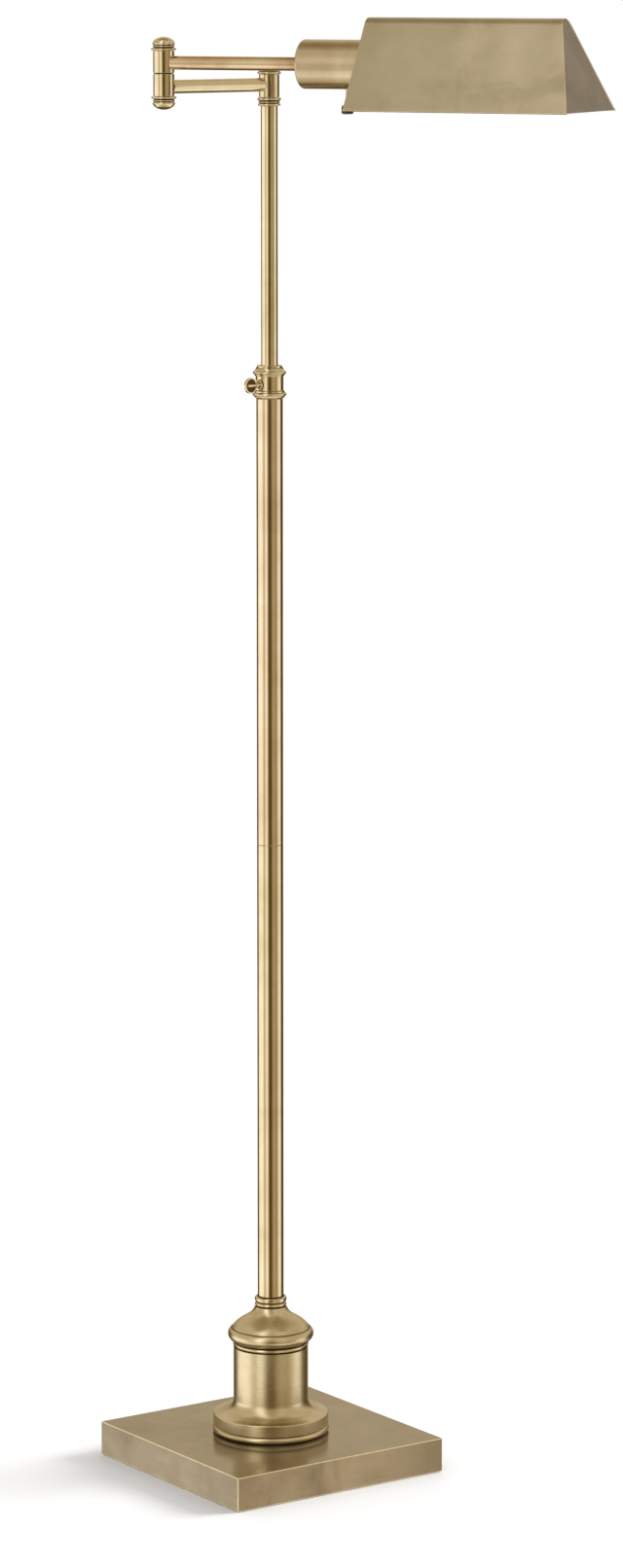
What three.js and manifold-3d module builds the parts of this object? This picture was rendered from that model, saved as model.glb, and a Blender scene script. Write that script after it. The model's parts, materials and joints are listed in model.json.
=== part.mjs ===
// Pharmacy floor lamp: a square weighted foot with a short column, a screwed pole, a height rod held
// by a thumbscrew, two swivelling arms and a tent-shaped shade that rolls about the upper arm.
// Millimetres, +Z up. The origin is on the pole's axis at the level of the floor.

import * as THREE from 'three';
import { mergeVertices } from 'three/addons/utils/BufferGeometryUtils.js';
import Module from 'manifold-3d';

const wasm = await Module();
wasm.setup();

// ---- driving dimensions -------------------------------------------------------------------------

const GAP = 0.3;                    // clearance left between neighbouring pieces

const BASE_SIDE = 241.3;            // square foot, 9 1/2 in
const BASE_HEIGHT = 34;
const COVER_WALL = 1.6;
const COVER_FOOT = 0.6;             // height of the cover's lower edge above the floor
const FELT_THICKNESS = 2;
const PAN_THICKNESS = 1.6;
const WEIGHT_THICKNESS = 18;
const GROMMET_HEIGHT = 12;

const FLANGE_RADIUS = 56.9;
const FLANGE_HEIGHT = 19.2;
const COLUMN_RADIUS = 36.6;
const COLUMN_TOP = 119.4;
const BELL_RADIUS = 42;
const BELL_TOP = 159.7;
const NECK_TOP = 170.3;

const POLE_RADIUS = 12.7;           // 1 in tube
const POLE_WALL = 1.2;
const POLE_JOINT = 618.6;
const POLE_TOP = 1049.4;
const COLLAR_TOP = 1081.2;
const COLLAR_NECK_RADIUS = 13.3;
const SCREW_HEIGHT = 1063;
const SCREW_ANGLE = 188.6;          // degrees from +X, seen from above

const ROD_RADIUS = 8;               // 16 mm tube
const ROD_WALL = 1.2;
const ROD_BOTTOM = 900.3;
const ROD_TOP = 1326.2;

const TEE_RADIUS = 9.6;
const TEE_BOTTOM = 1334.6;
const TEE_TOP = 1356;

const ARM_RADIUS = 6.35;            // 1/2 in tube
const ARM_WALL = 1.2;
const LOWER_ARM_ANGLE = 184.6;
const LOWER_ARM_HEIGHT = 1346.2;
const LOWER_ARM_LENGTH = 126;       // from the pole's axis to the elbow's axis
const ELBOW_RADIUS = 9.85;
const ELBOW_SPLIT = 1358.7;
const ELBOW_BARREL = 20.6;
const ELBOW_RING_RADIUS = 11.8;
const PIN_RADIUS = 5;

const UPPER_ARM_ANGLE = -59.4;
const UPPER_ARM_HEIGHT = 1368.5;
const CUP_START = 143;              // distances along the upper arm from the elbow's axis
const SHADE_START = 208.5;
const SHADE_END = 426.5;
const CUP_RADIUS = 22.6;
const CUP_WALL = 1.2;

const SHADE_HALF_WIDTH = 60.5;      // at the hem
const SHADE_HEM = -40.2;            // heights from the arm's axis
const SHADE_TOP = 43.5;
const SHADE_RIDGE_RADIUS = 13.5;
const SHADE_WALL = 1.2;
const SHADE_FAR_LEAN = 26;          // how far the far end leans in from hem to ridge

const SWITCH_ALONG = 187;           // turn switch, along the arm and below its axis
const KNOB_RADIUS = 5.5;
const KNOB_HEIGHT = 8;
const KNOB_TIP = -45;

const BULB_RADIUS = 15;
const BULB_END = 322;

// ---- finishes -----------------------------------------------------------------------------------

const finish = (color, roughness, metalness) =>
  () => new THREE.MeshStandardMaterial({ color, roughness, metalness });
const agedBrass = finish(0xa8946a, 0.35, 1);
const darkBrass = finish(0x9a8468, 0.4, 1);
const rawBrass = finish(0xc9a65a, 0.4, 1);
const steel = finish(0x8c8f93, 0.45, 1);
const castIron = finish(0x3a3a3c, 0.8, 0.4);
const blackPlastic = finish(0x151413, 0.4, 0);
const nylon = finish(0xe8e2d4, 0.5, 0);
const felt = finish(0x33302c, 0.95, 0);
const opalGlass = finish(0xf4f1e8, 0.15, 0);

// ---- solids -------------------------------------------------------------------------------------

// Cut and joined shapes go through a solid with shared vertices and no degenerate triangles.
function toSolid(geometry) {
  const bare = geometry.clone();
  bare.deleteAttribute('normal');
  bare.deleteAttribute('uv');
  const merged = mergeVertices(bare, 1e-4);
  const index = merged.index.array;
  const triangles = [];
  for (let i = 0; i < index.length; i += 3) {
    const [a, b, c] = [index[i], index[i + 1], index[i + 2]];
    if (a !== b && b !== c && c !== a) triangles.push(a, b, c);
  }
  return new wasm.Manifold(new wasm.Mesh({
    numProp: 3,
    vertProperties: new Float32Array(merged.attributes.position.array),
    triVerts: new Uint32Array(triangles),
  }));
}

function toGeometry(solid) {
  const mesh = solid.getMesh();
  const geometry = new THREE.BufferGeometry();
  const positions = new Float32Array(mesh.vertProperties);
  geometry.setAttribute('position', new THREE.BufferAttribute(positions, 3));
  geometry.setIndex(new THREE.BufferAttribute(new Uint32Array(mesh.triVerts), 1));
  geometry.computeVertexNormals();
  return geometry;
}

const cut = (geometry, ...tools) =>
  toGeometry(tools.reduce((solid, tool) => solid.subtract(toSolid(tool)), toSolid(geometry)));
const join = (geometry, ...others) =>
  toGeometry(others.reduce((solid, other) => solid.add(toSolid(other)), toSolid(geometry)));
const common = (a, b) => toGeometry(toSolid(a).intersect(toSolid(b)));

// A shape turned about Z from [radius, height] points that run up the outside.
function turned(points, sides = 28) {
  const profile = points.map(([radius, height]) => new THREE.Vector2(radius, height));
  return new THREE.LatheGeometry(profile, sides).rotateX(Math.PI / 2);
}

const rod = (radius, low, high, sides = 28) =>
  turned([[0, low], [radius, low], [radius, high], [0, high]], sides);

const ring = (outer, inner, low, high, sides = 28) =>
  turned([[inner, low], [outer, low], [outer, high], [inner, high], [inner, low]], sides);

// A turned piece with a straight bore: the outline runs up the outside, the bore closes it.
const bored = (outline, bore, sides = 28) => {
  const low = outline[0][1];
  const high = outline[outline.length - 1][1];
  return turned([[bore, low], ...outline, [bore, high], [bore, low]], sides);
};

const hexNut = (corner, bore, low, high) =>
  cut(rod(corner, low, high, 6), rod(bore, low - 1, high + 1));

// Points of an arc about [radius, height], angles in degrees from the outward direction.
function arc([centreRadius, centreHeight], radius, from, to, steps) {
  return Array.from({ length: steps + 1 }, (_, i) => {
    const angle = THREE.MathUtils.degToRad(from + (to - from) * i / steps);
    return [centreRadius + radius * Math.cos(angle), centreHeight + radius * Math.sin(angle)];
  });
}

const bead = (radius, height, half, steps = 4) =>
  arc([radius - half, height], half, -90, 90, steps);

const box = (width, depth, low, high, x = 0, y = 0) =>
  new THREE.BoxGeometry(width, depth, high - low).translate(x, y, (low + high) / 2);

const alongX = (geometry) => geometry.rotateY(Math.PI / 2);
const alongY = (geometry) => geometry.rotateX(-Math.PI / 2);

const lamp = new THREE.Group();

function add(group, name, geometry, material) {
  const mesh = new THREE.Mesh(geometry, material());
  mesh.name = name;
  group.add(mesh);
}

// ---- weighted foot ------------------------------------------------------------------------------

const cavity = BASE_SIDE - 2 * COVER_WALL;
const fill = cavity - 4 * GAP;
const coverCeiling = BASE_HEIGHT - COVER_WALL;
const weightTop = coverCeiling - GAP;
const weightBottom = weightTop - WEIGHT_THICKNESS;
const panBottom = FELT_THICKNESS + GAP;
const panTop = panBottom + PAN_THICKNESS;
const TIE_RADIUS = 4.8;
const TIE_BORE = 3;

const grommetHole = alongY(rod(5.5, cavity / 2 - 5, BASE_SIDE / 2 + 5, 24))
  .translate(0, 0, GROMMET_HEIGHT);
add(lamp, 'base_cover', cut(
  box(BASE_SIDE, BASE_SIDE, COVER_FOOT, BASE_HEIGHT),
  box(cavity, cavity, COVER_FOOT - 5, coverCeiling),
  rod(TIE_RADIUS + 0.6, coverCeiling - 5, BASE_HEIGHT + 5, 24),
  grommetHole,
), darkBrass);

add(lamp, 'base_felt', box(fill, fill, 0, FELT_THICKNESS), felt);
add(lamp, 'base_pan', box(fill, fill, panBottom, panTop), steel);

const washerTop = weightTop - 10;
add(lamp, 'base_weight', cut(
  box(fill, fill, weightBottom, weightTop),
  rod(TIE_RADIUS + 0.6, weightBottom - 5, weightTop + 5, 24),
  rod(18, weightBottom - 5, washerTop + GAP, 32),
  box(20, fill / 2, weightBottom - 5, weightBottom + 6, 0, fill / 4 + 5),
), castIron);

add(lamp, 'tie_washer', ring(15, TIE_RADIUS + 0.5, washerTop - 2, washerTop, 32), steel);
add(lamp, 'tie_nut', hexNut(9.8, TIE_RADIUS + 0.4, washerTop - 9.3, washerTop - 2.3), steel);
add(lamp, 'tie_rod', ring(TIE_RADIUS, TIE_BORE, washerTop - 12, NECK_TOP - 8, 24), steel);

add(lamp, 'cord_grommet', alongY(turned([
  [3.2, cavity / 2 - 3.4], [6.8, cavity / 2 - 3.4], [6.8, cavity / 2 - GAP], [5.1, cavity / 2 - GAP],
  [5.1, BASE_SIDE / 2 + GAP], [7.2, BASE_SIDE / 2 + GAP], [6.4, BASE_SIDE / 2 + 2.2],
  [3.2, BASE_SIDE / 2 + 2.2], [3.2, cavity / 2 - 3.4],
], 24)).translate(0, 0, GROMMET_HEIGHT), blackPlastic);

// ---- column, bell and neck ----------------------------------------------------------------------

const columnFoot = BASE_HEIGHT + GAP;
const flangeTop = BASE_HEIGHT + FLANGE_HEIGHT;
const FILLET = 14.8;
add(lamp, 'column', turned([
  [TIE_RADIUS + 0.4, columnFoot],
  ...arc([FLANGE_RADIUS - 2.6, columnFoot + 3.2], 3.2, -90, 60, 3),
  [FLANGE_RADIUS - 1.4, columnFoot + 6.8],
  [FLANGE_RADIUS - 0.4, columnFoot + 7.4],
  [FLANGE_RADIUS - 0.4, flangeTop - 0.8],
  [FLANGE_RADIUS - 1.2, flangeTop],
  ...arc([COLUMN_RADIUS + FILLET, flangeTop + FILLET], FILLET, 270, 180, 5),
  [COLUMN_RADIUS, COLUMN_TOP],
  [COLUMN_RADIUS - 2.4, COLUMN_TOP],
  [COLUMN_RADIUS - 2.4, flangeTop],
  [TIE_RADIUS + 0.4, flangeTop - 5],
  [TIE_RADIUS + 0.4, columnFoot],
], 36), agedBrass);

const beadTop = COLUMN_TOP + 5.4;
add(lamp, 'column_bead', bored([
  [35.8, COLUMN_TOP + GAP], ...bead(37.1, COLUMN_TOP + 2.9, 1.9), [35.8, beadTop],
], 31, 36), agedBrass);

const bellFoot = beadTop + GAP;
add(lamp, 'bell_cap', turned([
  [35.6, bellFoot],
  [37.6, bellFoot + 0.6],
  ...arc([BELL_RADIUS - 6.8, bellFoot + 7.3], 6.8, -55, 58, 7),
  [38, bellFoot + 13.2],
  [36.4, bellFoot + 15.9],
  [32.8, bellFoot + 19.3],
  [28.8, bellFoot + 22.1],
  [25, bellFoot + 24.3],
  [21.5, bellFoot + 26.6],
  [18.8, bellFoot + 28.9],
  [16.9, bellFoot + 31.4],
  [15.6, BELL_TOP],
  [TIE_RADIUS + 0.4, BELL_TOP],
  [TIE_RADIUS + 0.4, bellFoot + 15],
  [28, bellFoot + 11],
  [33, bellFoot],
  [35.6, bellFoot],
], 36), agedBrass);

const neckFoot = BELL_TOP + GAP;
const spigotTop = NECK_TOP + 18;
const poleBore = POLE_RADIUS - POLE_WALL;
add(lamp, 'neck_collar', bored([
  [14.6, neckFoot],
  ...bead(15.5, neckFoot + 2.3, 1.8),
  [14.3, neckFoot + 4.5],
  ...bead(15.6, neckFoot + 7, 2),
  [14, neckFoot + 9.5],
  [13.2, NECK_TOP],
  [poleBore - GAP, NECK_TOP],
  [poleBore - GAP, spigotTop],
], TIE_RADIUS + 0.4), agedBrass);

// ---- pole ---------------------------------------------------------------------------------------

add(lamp, 'lower_pole', ring(POLE_RADIUS, poleBore, NECK_TOP + GAP, POLE_JOINT - GAP), agedBrass);
add(lamp, 'pole_coupler', ring(poleBore - GAP, 8.6, POLE_JOINT - 20, POLE_JOINT + 20), rawBrass);
add(lamp, 'upper_pole', ring(POLE_RADIUS, poleBore, POLE_JOINT, POLE_TOP), agedBrass);

const collarFoot = POLE_TOP + GAP;
const collarSpigot = POLE_TOP - 14;
const rodClear = ROD_RADIUS + GAP;
add(lamp, 'rod_bush', ring(poleBore - GAP, rodClear, collarSpigot - 50, collarSpigot - GAP), nylon);

const screwBore = alongX(rod(2.3, 4, 20, 20))
  .rotateZ(THREE.MathUtils.degToRad(SCREW_ANGLE)).translate(0, 0, SCREW_HEIGHT);
add(lamp, 'height_collar', cut(bored([
  [poleBore - GAP, collarSpigot],
  [poleBore - GAP, collarFoot],
  [13.2, collarFoot],
  [14.6, collarFoot + 1.2],
  ...bead(16.4, collarFoot + 4, 1.5),
  [14.2, collarFoot + 6],
  [14.2, collarFoot + 7.2],
  [COLLAR_NECK_RADIUS, collarFoot + 7.8],
  [COLLAR_NECK_RADIUS, COLLAR_TOP - 10.2],
  [14.4, COLLAR_TOP - 9.8],
  [14.8, COLLAR_TOP - 8.6],
  ...bead(16.2, COLLAR_TOP - 7, 1.3),
  [14.2, COLLAR_TOP - 3.6],
  [13, COLLAR_TOP - 2.4],
  [12, COLLAR_TOP - 1.8],
  [12, COLLAR_TOP - 0.3],
  [11.4, COLLAR_TOP],
], rodClear + 0.1), screwBore), agedBrass);

// ---- thumbscrew: shank, shoulder and a round paddle standing in the screw's own plane -----------

const screw = new THREE.Group();
screw.position.z = SCREW_HEIGHT;
screw.rotation.z = THREE.MathUtils.degToRad(SCREW_ANGLE);
lamp.add(screw);

const PADDLE_RADIUS = 7.6;
const PADDLE_CENTRE = 24.5;
const shoulder = COLLAR_NECK_RADIUS + GAP;
add(screw, 'thumbscrew', join(
  alongX(turned([
    [0, rodClear + 0.2], [1.9, rodClear + 0.2], [1.9, shoulder], [5, shoulder], [5.3, shoulder + 0.6],
    [5.3, shoulder + 1.8], [4.6, shoulder + 2.4], [2.4, shoulder + 3], [1.7, shoulder + 5],
    [1.7, PADDLE_CENTRE + 2.4], [0, PADDLE_CENTRE + 4],
  ], 16)),
  alongY(turned([
    [0, -0.8], [PADDLE_RADIUS - 1.6, -0.8], [PADDLE_RADIUS - 1.2, -1.4], [PADDLE_RADIUS, -1.1],
    [PADDLE_RADIUS, 1.1], [PADDLE_RADIUS - 1.2, 1.4], [PADDLE_RADIUS - 1.6, 0.8], [0, 0.8],
  ], 24)).translate(PADDLE_CENTRE, 0, 0),
), agedBrass);

// ---- height rod ---------------------------------------------------------------------------------

add(lamp, 'rod_stop', bored([
  [poleBore - 0.4, ROD_BOTTOM - 10], [poleBore - 0.4, ROD_BOTTOM - GAP],
  [ROD_RADIUS - ROD_WALL - GAP, ROD_BOTTOM - GAP], [ROD_RADIUS - ROD_WALL - GAP, ROD_BOTTOM + 14],
], 3.5, 32), nylon);
add(lamp, 'height_rod', ring(ROD_RADIUS, ROD_RADIUS - ROD_WALL, ROD_BOTTOM, ROD_TOP), agedBrass);

const teeFoot = ROD_TOP + GAP;
add(lamp, 'tee_seat', bored([
  [9.8, teeFoot],
  ...bead(10.75, teeFoot + 1.2, 1),
  [9.3, teeFoot + 2.6],
  ...bead(10.3, teeFoot + 3.6, 0.7, 2),
  [9.3, teeFoot + 4.7],
  [11, teeFoot + 5.3],
  [11.35, teeFoot + 6.2],
  [11.35, teeFoot + 7.2],
  [10.9, TEE_BOTTOM - GAP],
], PIN_RADIUS + GAP), agedBrass);
add(lamp, 'tee_spindle', ring(PIN_RADIUS, 3.2, ROD_TOP - 24, TEE_TOP - 0.2, 32), steel);

const capFoot = TEE_TOP + GAP;
add(lamp, 'tee_cap', turned([
  [0, capFoot],
  [10.8, capFoot],
  [11.25, capFoot + 0.5],
  [11.25, capFoot + 1.8],
  [10.6, capFoot + 2.4],
  [8.6, capFoot + 3.2],
  [5, capFoot + 4],
  [0, capFoot + 4.3],
]), agedBrass);

// ---- lower arm, carried by the tee --------------------------------------------------------------

const lowerArm = new THREE.Group();
lowerArm.rotation.z = THREE.MathUtils.degToRad(LOWER_ARM_ANGLE);
lamp.add(lowerArm);

const cordHole = (radius, x, reach, height) =>
  alongX(rod(radius, x, x + reach, 20)).translate(0, 0, height);

add(lowerArm, 'tee_barrel', cut(
  ring(TEE_RADIUS, PIN_RADIUS + GAP, TEE_BOTTOM, TEE_TOP),
  cordHole(4, 0, 15, LOWER_ARM_HEIGHT),
), agedBrass);

const armTube = (from, to, height) =>
  alongX(ring(ARM_RADIUS, ARM_RADIUS - ARM_WALL, from, to, 32)).translate(0, 0, height);
const saddle = (radius, x, height) => rod(radius + GAP, height - 20, height + 20).translate(x, 0, 0);

add(lowerArm, 'lower_arm', cut(
  armTube(TEE_RADIUS - 4, LOWER_ARM_LENGTH - 4, LOWER_ARM_HEIGHT),
  saddle(TEE_RADIUS, 0, LOWER_ARM_HEIGHT),
  saddle(ELBOW_RADIUS, LOWER_ARM_LENGTH, LOWER_ARM_HEIGHT),
), agedBrass);

// ---- elbow: two barrels on one pin, with a turned finial at each end ----------------------------

const elbow = new THREE.Group();
elbow.position.x = LOWER_ARM_LENGTH;
lowerArm.add(elbow);

const lowBarrelTop = ELBOW_SPLIT - 0.6;
const lowBarrelFoot = lowBarrelTop - ELBOW_BARREL + 0.2;
const highBarrelFoot = ELBOW_SPLIT + 0.6;
const highBarrelTop = highBarrelFoot + ELBOW_BARREL - 0.2;

add(elbow, 'elbow_lower_barrel', cut(
  ring(ELBOW_RADIUS, PIN_RADIUS + GAP, lowBarrelFoot, lowBarrelTop),
  cordHole(4, -15, 15, LOWER_ARM_HEIGHT),
), agedBrass);
add(elbow, 'elbow_washer',
  ring(9.2, PIN_RADIUS + GAP, ELBOW_SPLIT - 0.3, ELBOW_SPLIT + 0.3), blackPlastic);
add(elbow, 'elbow_pin', ring(PIN_RADIUS, 3.2, lowBarrelFoot - 5, highBarrelTop + 5, 32), steel);

const FINIAL_HEIGHT = 12.4;
const finial = () => turned([
  [0, 6], [PIN_RADIUS + GAP, 6], [PIN_RADIUS + GAP, 0],
  [10.6, 0],
  [ELBOW_RING_RADIUS, 0.5],
  [ELBOW_RING_RADIUS, 1.6],
  [10.6, 2.2],
  [9.2, 2.6],
  [9.2, 3.2],
  ...bead(10.2, 4, 0.7, 2),
  [9.4, 4.9],
  [9.4, 5.5],
  [10.4, 6],
  [10.6, 7],
  ...arc([0, 1.2], 11.2, 32, 90, 4).slice(1, -1),
  [0, FINIAL_HEIGHT],
]);
add(elbow, 'elbow_top_finial', finial().translate(0, 0, highBarrelTop + GAP), agedBrass);
add(elbow, 'elbow_bottom_finial',
  finial().rotateX(Math.PI).translate(0, 0, lowBarrelFoot - GAP), agedBrass);

// ---- upper arm ----------------------------------------------------------------------------------

const upperArm = new THREE.Group();
upperArm.rotation.z = THREE.MathUtils.degToRad(UPPER_ARM_ANGLE - LOWER_ARM_ANGLE);
elbow.add(upperArm);

add(upperArm, 'elbow_upper_barrel', cut(
  ring(ELBOW_RADIUS, PIN_RADIUS + GAP, highBarrelFoot, highBarrelTop),
  cordHole(4, 0, 15, UPPER_ARM_HEIGHT),
), agedBrass);
add(upperArm, 'upper_arm', cut(
  armTube(ELBOW_RADIUS - 4, CUP_START + 12, UPPER_ARM_HEIGHT),
  saddle(ELBOW_RADIUS, 0, UPPER_ARM_HEIGHT),
), agedBrass);

const nutStart = CUP_START + 2 + GAP;
add(upperArm, 'swivel_nut', alongX(hexNut(12.5, ARM_RADIUS + GAP, nutStart, nutStart + 6))
  .translate(0, 0, UPPER_ARM_HEIGHT), rawBrass);

// ---- shade, socket and bulb, all about the upper arm's axis -------------------------------------

const head = new THREE.Group();
head.position.z = UPPER_ARM_HEIGHT;
upperArm.add(head);

const cupEnd = SHADE_START - GAP;
const switchHole = (radius, low) => rod(radius, low, low + 12, 16).translate(SWITCH_ALONG, 0, 0);
add(head, 'socket_cup', cut(alongX(turned([
  [ARM_RADIUS + GAP, CUP_START],
  ...arc([CUP_RADIUS - 1.6, CUP_START + 1.6], 1.6, -90, 0, 3),
  [CUP_RADIUS, cupEnd],
  [CUP_RADIUS - CUP_WALL, cupEnd],
  [CUP_RADIUS - CUP_WALL, CUP_START + 2],
  [ARM_RADIUS + GAP, CUP_START + 2],
  [ARM_RADIUS + GAP, CUP_START],
])), switchHole(2, -30)), agedBrass);

const HOLDER_RADIUS = 17.4;
const holderStart = CUP_START + 22;
add(head, 'lampholder', cut(alongX(turned([
  [0, holderStart], [HOLDER_RADIUS - 2, holderStart], [HOLDER_RADIUS, holderStart + 3],
  [HOLDER_RADIUS, SHADE_START + 10], [14.7, SHADE_START + 10], [14.7, holderStart + 8],
  [0, holderStart + 8],
], 24)), switchHole(2, -15.2 - 12)), blackPlastic);
add(head, 'screw_shell', alongX(ring(14.4, 13.7, holderStart + 10, SHADE_START + 6, 24)), rawBrass);
add(head, 'centre_contact', alongX(rod(3.4, holderStart + 8 + GAP, holderStart + 10.5, 20)), rawBrass);
add(head, 'bulb_cap', alongX(turned([
  [0, holderStart + 11], [4, holderStart + 11], [10, holderStart + 14], [13.2, holderStart + 16],
  [13.2, SHADE_START + 4], [0, SHADE_START + 4],
], 24)), steel);
add(head, 'bulb_glass', alongX(turned([
  [0, SHADE_START + 4 + GAP], [12.6, SHADE_START + 4 + GAP], [BULB_RADIUS, SHADE_START + 14],
  ...arc([0, BULB_END - BULB_RADIUS], BULB_RADIUS, 0, 90, 6).slice(0, -1),
  [0, BULB_END],
], 24)), opalGlass);

// The shade's section: two leaning panels and a rounded ridge, from one hem to the other.
function section(inset, low = SHADE_HEM) {
  const radius = SHADE_RIDGE_RADIUS - inset;
  const halfWidth = SHADE_HALF_WIDTH - inset;
  const ridgeHeight = SHADE_TOP - SHADE_RIDGE_RADIUS;
  const rise = ridgeHeight - SHADE_HEM;
  const lean = Math.acos(radius / Math.hypot(halfWidth, rise)) - Math.atan2(rise, halfWidth);
  const start = halfWidth - (low - SHADE_HEM) * Math.tan(lean);
  const degrees = THREE.MathUtils.radToDeg(lean);
  return [[start, low], ...arc([0, ridgeHeight], radius, degrees, 180 - degrees, 10), [-start, low]];
}

// A shape drawn across the arm (its x and y are the section's width and height), extruded along X.
function acrossArm(points, from, to) {
  const shape = new THREE.Shape(points.map(([width, height]) => new THREE.Vector2(width, height)));
  return new THREE.ExtrudeGeometry(shape, { depth: to - from, bevelEnabled: false })
    .rotateX(Math.PI / 2).rotateZ(Math.PI / 2).translate(from, 0, 0);
}

// A slab across the arm from the far end's plane, which leans back about its hem.
const farSlab = (from, to) => new THREE.BoxGeometry(to - from, 300, 400)
  .translate((from + to) / 2, 0, 0)
  .rotateY(-Math.atan2(SHADE_FAR_LEAN, SHADE_TOP - SHADE_HEM))
  .translate(SHADE_END, 0, SHADE_HEM);

const wallRing = [...section(0), ...section(SHADE_WALL).reverse()];
add(head, 'shade_body',
  cut(acrossArm(wallRing, SHADE_START, SHADE_END + 20), farSlab(0, 200)), agedBrass);

const inside = section(SHADE_WALL + GAP, SHADE_HEM + 0.1);
add(head, 'shade_near_end', cut(
  acrossArm(inside, SHADE_START, SHADE_START + SHADE_WALL),
  alongX(rod(HOLDER_RADIUS + GAP, SHADE_START - 20, SHADE_START + 20, 24)),
), agedBrass);
add(head, 'shade_far_end',
  common(acrossArm(inside, SHADE_START, SHADE_END + 20), farSlab(-SHADE_WALL, 0)), darkBrass);

const ringStart = SHADE_START + SHADE_WALL + GAP;
add(head, 'shade_ring',
  alongX(ring(22, HOLDER_RADIUS + GAP, ringStart, ringStart + 4, 24)), blackPlastic);

// ---- turn switch under the cup: a stem into the lampholder and a black knob --------------------

const STEM_RADIUS = 1.5;
const STEM_IN_KNOB = 5;
const stemTop = -15.4;
const knobTop = KNOB_TIP + KNOB_HEIGHT;
add(head, 'switch_stem',
  rod(STEM_RADIUS, knobTop - STEM_IN_KNOB, stemTop, 16).translate(SWITCH_ALONG, 0, 0), rawBrass);
add(head, 'switch_knob', turned([
  [0, KNOB_TIP], [KNOB_RADIUS - 1.4, KNOB_TIP], [KNOB_RADIUS, KNOB_TIP + 1],
  [KNOB_RADIUS, knobTop - 1.2], [KNOB_RADIUS - 1, knobTop], [STEM_RADIUS + GAP, knobTop],
  [STEM_RADIUS + GAP, knobTop - STEM_IN_KNOB - GAP], [0, knobTop - STEM_IN_KNOB - GAP],
], 24).translate(SWITCH_ALONG, 0, 0), blackPlastic);

export default lamp;
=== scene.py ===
import json
import math

import bmesh
import bpy
from mathutils import Matrix, Vector


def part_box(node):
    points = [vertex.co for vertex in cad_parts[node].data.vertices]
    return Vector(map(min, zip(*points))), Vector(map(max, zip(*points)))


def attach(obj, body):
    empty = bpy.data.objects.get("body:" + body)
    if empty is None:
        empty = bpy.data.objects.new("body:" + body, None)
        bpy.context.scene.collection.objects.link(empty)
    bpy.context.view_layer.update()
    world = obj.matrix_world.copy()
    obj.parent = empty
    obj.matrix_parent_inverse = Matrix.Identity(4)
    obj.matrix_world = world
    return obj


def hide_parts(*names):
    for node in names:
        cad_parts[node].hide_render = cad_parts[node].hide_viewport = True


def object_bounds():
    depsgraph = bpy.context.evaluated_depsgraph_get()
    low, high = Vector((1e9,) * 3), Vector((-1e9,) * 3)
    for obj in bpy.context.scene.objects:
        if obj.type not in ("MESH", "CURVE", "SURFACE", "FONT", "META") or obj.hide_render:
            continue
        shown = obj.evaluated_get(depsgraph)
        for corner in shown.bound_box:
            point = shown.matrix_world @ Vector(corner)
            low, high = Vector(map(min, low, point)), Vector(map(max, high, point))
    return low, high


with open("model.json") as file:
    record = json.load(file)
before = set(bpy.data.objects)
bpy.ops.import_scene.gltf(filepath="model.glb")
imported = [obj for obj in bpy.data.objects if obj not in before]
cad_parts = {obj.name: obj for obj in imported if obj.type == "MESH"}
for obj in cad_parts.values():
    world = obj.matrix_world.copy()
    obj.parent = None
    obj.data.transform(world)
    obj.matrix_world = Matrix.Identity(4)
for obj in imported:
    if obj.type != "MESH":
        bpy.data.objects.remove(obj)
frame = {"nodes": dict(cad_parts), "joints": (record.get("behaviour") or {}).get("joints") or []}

# Pharmacy floor lamp in antique brass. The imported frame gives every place; the sections below follow
# the lamp as it is put together, from the foot up to the shade and its bulb.

cad_box = [list(corner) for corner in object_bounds()]


# ---- Studio -------------------------------------------------------------------------------------
# White paper floor under an even white sky. Only the polished metal sees the studio's pale panels
# and the dark gaps between them, which is what draws the long stripes down each tube.

CAMERA_DISTANCE = 5.0213        # metres from the pole's axis
CAMERA_HEIGHT = 1.4762
CAMERA_AZIMUTH = -34.43         # degrees round from the row's +Y
CAMERA_AIM = -0.456             # turned a little to the right of the pole
CAMERA_PITCH = 9.042
CAMERA_LENS = 121.0


def linear(hex_colour, alpha=1.0):
    """An sRGB hex colour as the linear RGBA that shaders read."""
    parts = [int(hex_colour[i:i + 2], 16) / 255 for i in (1, 3, 5)]
    return (*[p / 12.92 if p <= 0.04045 else ((p + 0.055) / 1.055) ** 2.4 for p in parts], alpha)


def add_node(tree, kind, inputs=None, **settings):
    """One shader node, with its settings, and its inputs as values or as other nodes' outputs."""
    made = tree.nodes.new(kind)
    for name, value in settings.items():
        setattr(made, name, value)
    for socket, value in (inputs or {}).items():
        if isinstance(value, bpy.types.NodeSocket):
            tree.links.new(value, made.inputs[socket])
        else:
            made.inputs[socket].default_value = value
    return made


def ramp(tree, factor, stops):
    """A colour ramp through (place, colour) stops."""
    made = add_node(tree, "ShaderNodeValToRGB", {"Fac": factor})
    elements = made.color_ramp.elements
    while len(elements) < len(stops):
        elements.new(0.5)
    for element, (place, colour) in zip(elements, stops):
        element.position = place
        element.color = colour
    return made.outputs["Color"]


def studio_point(right, away, up):
    """A place given as it lies from the camera, in the row's frame."""
    angle = math.radians(CAMERA_AZIMUTH)
    return Vector((right * math.cos(angle) - away * math.sin(angle),
                   right * math.sin(angle) + away * math.cos(angle), up))


camera = bpy.data.objects.new("camera", bpy.data.cameras.new("camera"))
bpy.context.scene.collection.objects.link(camera)
camera.data.lens = CAMERA_LENS
camera.data.clip_end = 100
camera.location = studio_point(0, -CAMERA_DISTANCE, CAMERA_HEIGHT)
camera.rotation_euler = (
    math.radians(90 - CAMERA_PITCH), 0, math.radians(CAMERA_AZIMUTH + CAMERA_AIM))
bpy.context.scene.camera = camera
bpy.context.scene.view_settings.view_transform = "Standard"

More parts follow.
